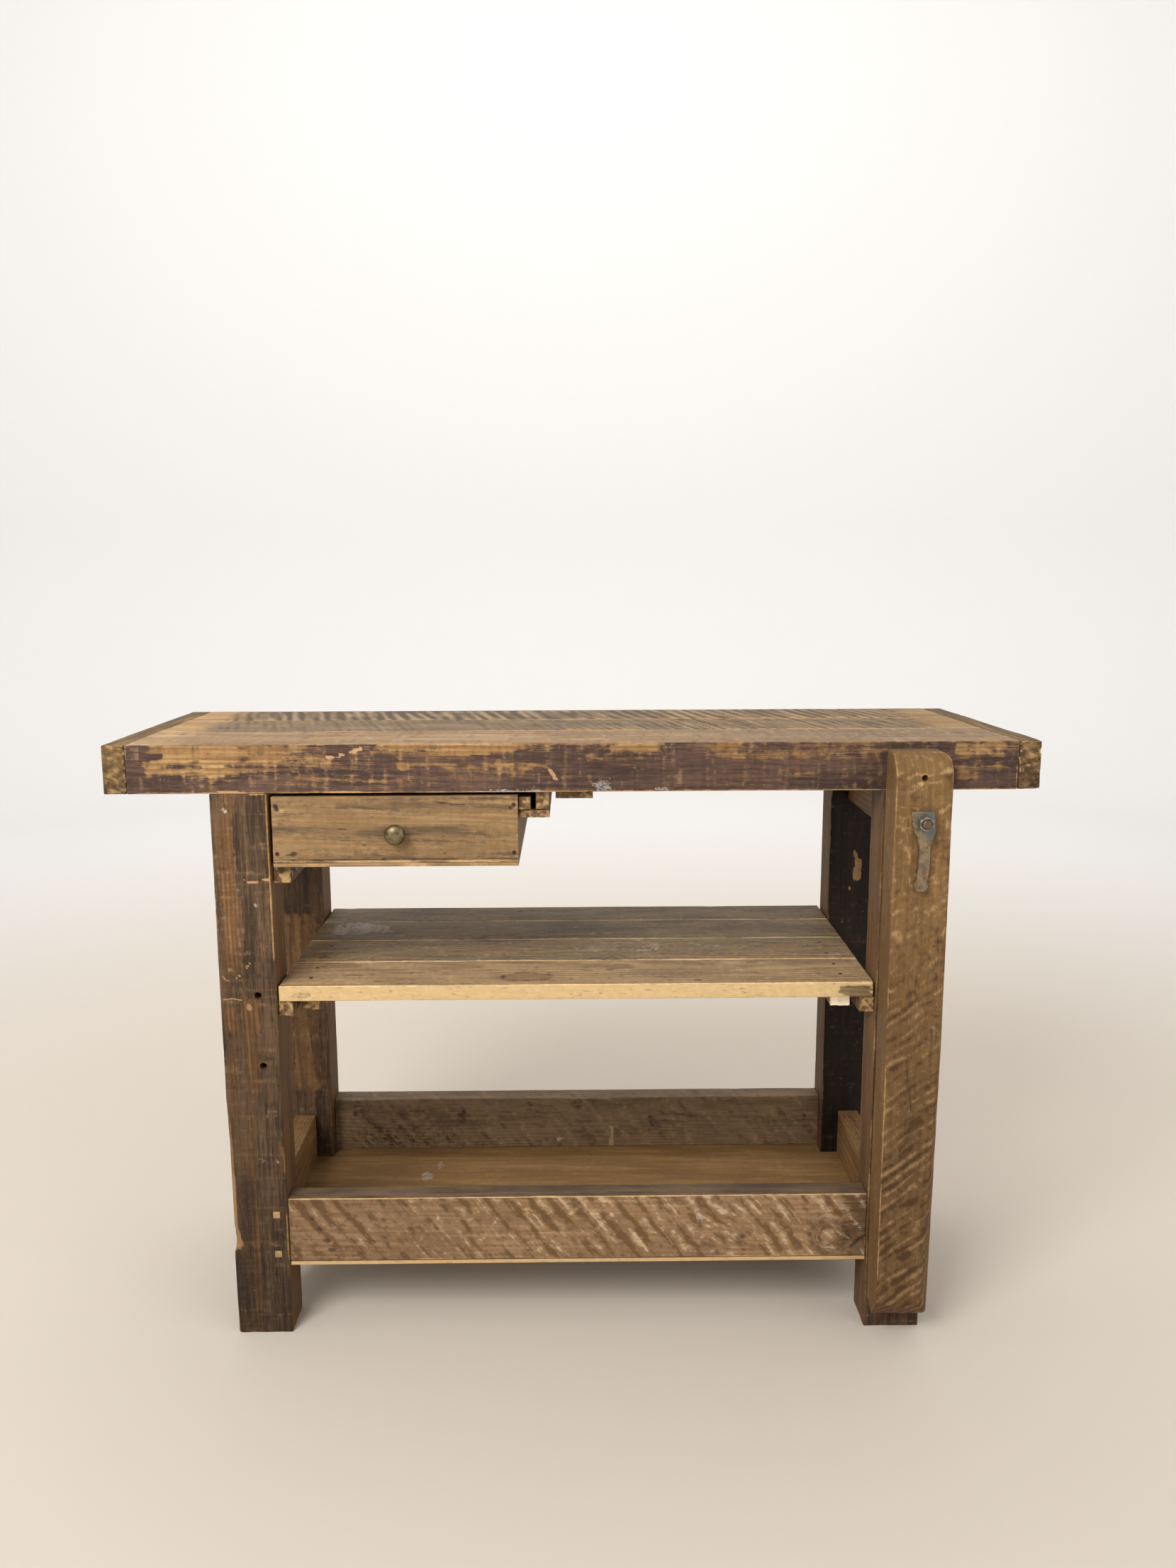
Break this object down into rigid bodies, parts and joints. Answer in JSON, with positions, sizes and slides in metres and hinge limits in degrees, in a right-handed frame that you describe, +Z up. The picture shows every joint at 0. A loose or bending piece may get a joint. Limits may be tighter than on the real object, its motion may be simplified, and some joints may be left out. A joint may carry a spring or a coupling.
{
  "type": "workbench",
  "caption": "Reclaimed-timber workbench with a capped plank top, pegged square legs, board shelf, low tray, hung drawer and a leg vise with an iron lever.",
  "frame": {"origin": "on the floor, in the middle of the bench's plan outline, with the closed vise included", "axes": "+X along the front towards the vise, +Y from the front to the back, +Z up"},
  "size_m": [1.3, 0.495, 0.8883],
  "materials": {
    "top_planks": "old dark paint worn through to tan wood, waxed",
    "end_caps": "aged end grain, waxed",
    "legs": "dark weathered softwood with worn edges",
    "front_rail": "rough sawn, worn on the saw marks",
    "back_rail": "dark weathered, scratched",
    "pegs": "pale raw wood",
    "tray": "smooth thin board, satin",
    "shelf_boards": "weathered grey-brown with pale edges",
    "battens": "raw sawn softwood",
    "drawer_pine": "aged pine, satin",
    "drawer_ply": "thin plywood, raw edge",
    "jaw": "rough sawn front, smooth sides",
    "knob": "aged, dark in the hollows",
    "forged_iron": "forged, rusted",
    "nails": "dark",
    "screws": "dull"
  },
  "bodies": {
    "frame": {"top_plank_front": "top_planks", "top_plank_middle": "top_planks", "top_plank_rear": "top_planks", "top_end_cap_left": "end_caps", "top_end_cap_right": "end_caps", "top_batten": "battens", "leg_front_left": "legs", "leg_front_right": "legs", "leg_back_left": "legs", "leg_back_right": "legs", "rail_front": "front_rail", "rail_back": "back_rail", "rail_left": "legs", "rail_right": "legs", "upper_rail_left": "legs", "upper_rail_right": "legs", "rail_pegs": "pegs", "side_rail_pegs": "pegs", "tray_sheet": "tray", "tray_nails": "nails", "shelf_board_1": "shelf_boards", "shelf_board_2": "shelf_boards", "shelf_board_3": "shelf_boards", "shelf_board_4": "shelf_boards", "shelf_batten_left": "battens", "shelf_batten_right": "battens", "shelf_nails": "nails", "shelf_ledger_left": "battens", "shelf_ledger_right": "battens", "ledger_screws": "screws", "runner_spacer": "battens", "runner_ledge": "battens", "runner_screws": "screws", "batten_screws": "screws", "drawer_ledger": "battens", "vise_nut_plate": "forged_iron", "nut_plate_screws": "screws"},
    "drawer": {"drawer_front": "drawer_pine", "drawer_side_left": "drawer_pine", "drawer_side_right": "drawer_pine", "drawer_back": "drawer_pine", "drawer_bottom": "drawer_ply", "drawer_cleat": "battens", "drawer_knob": "knob", "drawer_knob_screw": "screws", "drawer_nails": "nails"},
    "vise_jaw": {"vise_jaw": "jaw", "vise_guide": "pegs", "vise_guide_pin": "pegs"},
    "vise_screw": {"vise_stud": "forged_iron", "vise_lever": "forged_iron", "vise_lever_nut": "screws", "vise_washer": "forged_iron", "vise_collar": "forged_iron"}
  },
  "joints": [
    {"name": "drawer_slide", "type": "slide", "parent": "frame", "child": "drawer", "axis": [0, -1, 0], "range_m": [0, 0.3]},
    {"name": "jaw_slide", "type": "slide", "parent": "frame", "child": "vise_jaw", "axis": [0, -1, 0], "range_m": [0, 0.04]},
    {"name": "screw_turn", "type": "hinge", "parent": "vise_jaw", "child": "vise_screw", "pos_m": [0.472, -0.2355, 0.786], "axis": [0, -1, 0], "range_deg": [0, 3600]}
  ],
  "couplings": [
    {"joint": "screw_turn", "follows": "jaw_slide", "rad_per_m": 1570.7}
  ]
}
